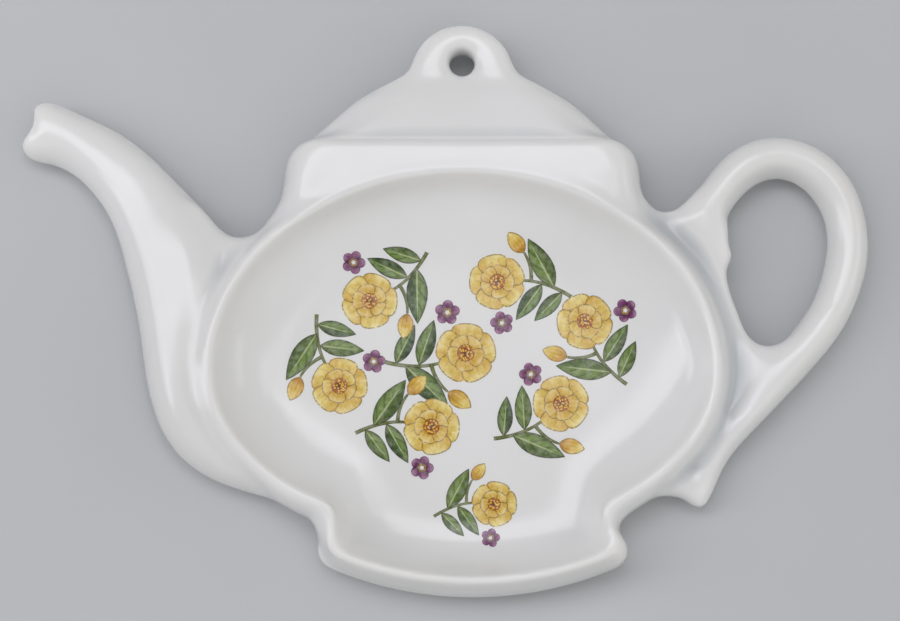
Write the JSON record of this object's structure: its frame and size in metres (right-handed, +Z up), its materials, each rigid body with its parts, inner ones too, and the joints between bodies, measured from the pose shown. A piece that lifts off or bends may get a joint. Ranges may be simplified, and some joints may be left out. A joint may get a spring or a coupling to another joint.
{
  "type": "tea bag rest",
  "caption": "Shallow glazed pottery dish in the flat outline of a teapot, with a coved well for a used tea bag, a loop handle, a spout and a hanging hole in the knob.",
  "frame": {"origin": "middle of the outline's box in plan, on the table under the foot ring", "axes": "+X from spout to handle, +Y from the foot of the outline to its lid, +Z up out of the well"},
  "size_m": [0.1538, 0.1038, 0.013],
  "materials": {
    "glaze": "gloss white glaze over a pressed white body",
    "dry_foot": "unglazed, wiped dry before firing",
    "enamel_yellow": "fired enamel transfer, gloss",
    "enamel_orange": "fired enamel transfer, gloss",
    "enamel_green": "fired enamel transfer, gloss",
    "enamel_olive": "fired enamel transfer, gloss",
    "enamel_violet": "fired enamel transfer, gloss"
  },
  "bodies": {
    "root": {"dish": "glaze", "spout": "glaze", "handle": "glaze", "collar": "glaze", "lid": "glaze", "hanging_lug": "glaze", "foot_ring": "dry_foot", "print_petals": "enamel_yellow", "print_hearts": "enamel_orange", "print_leaves": "enamel_green", "print_stems": "enamel_olive", "print_florets": "enamel_violet"}
  },
  "joints": []
}
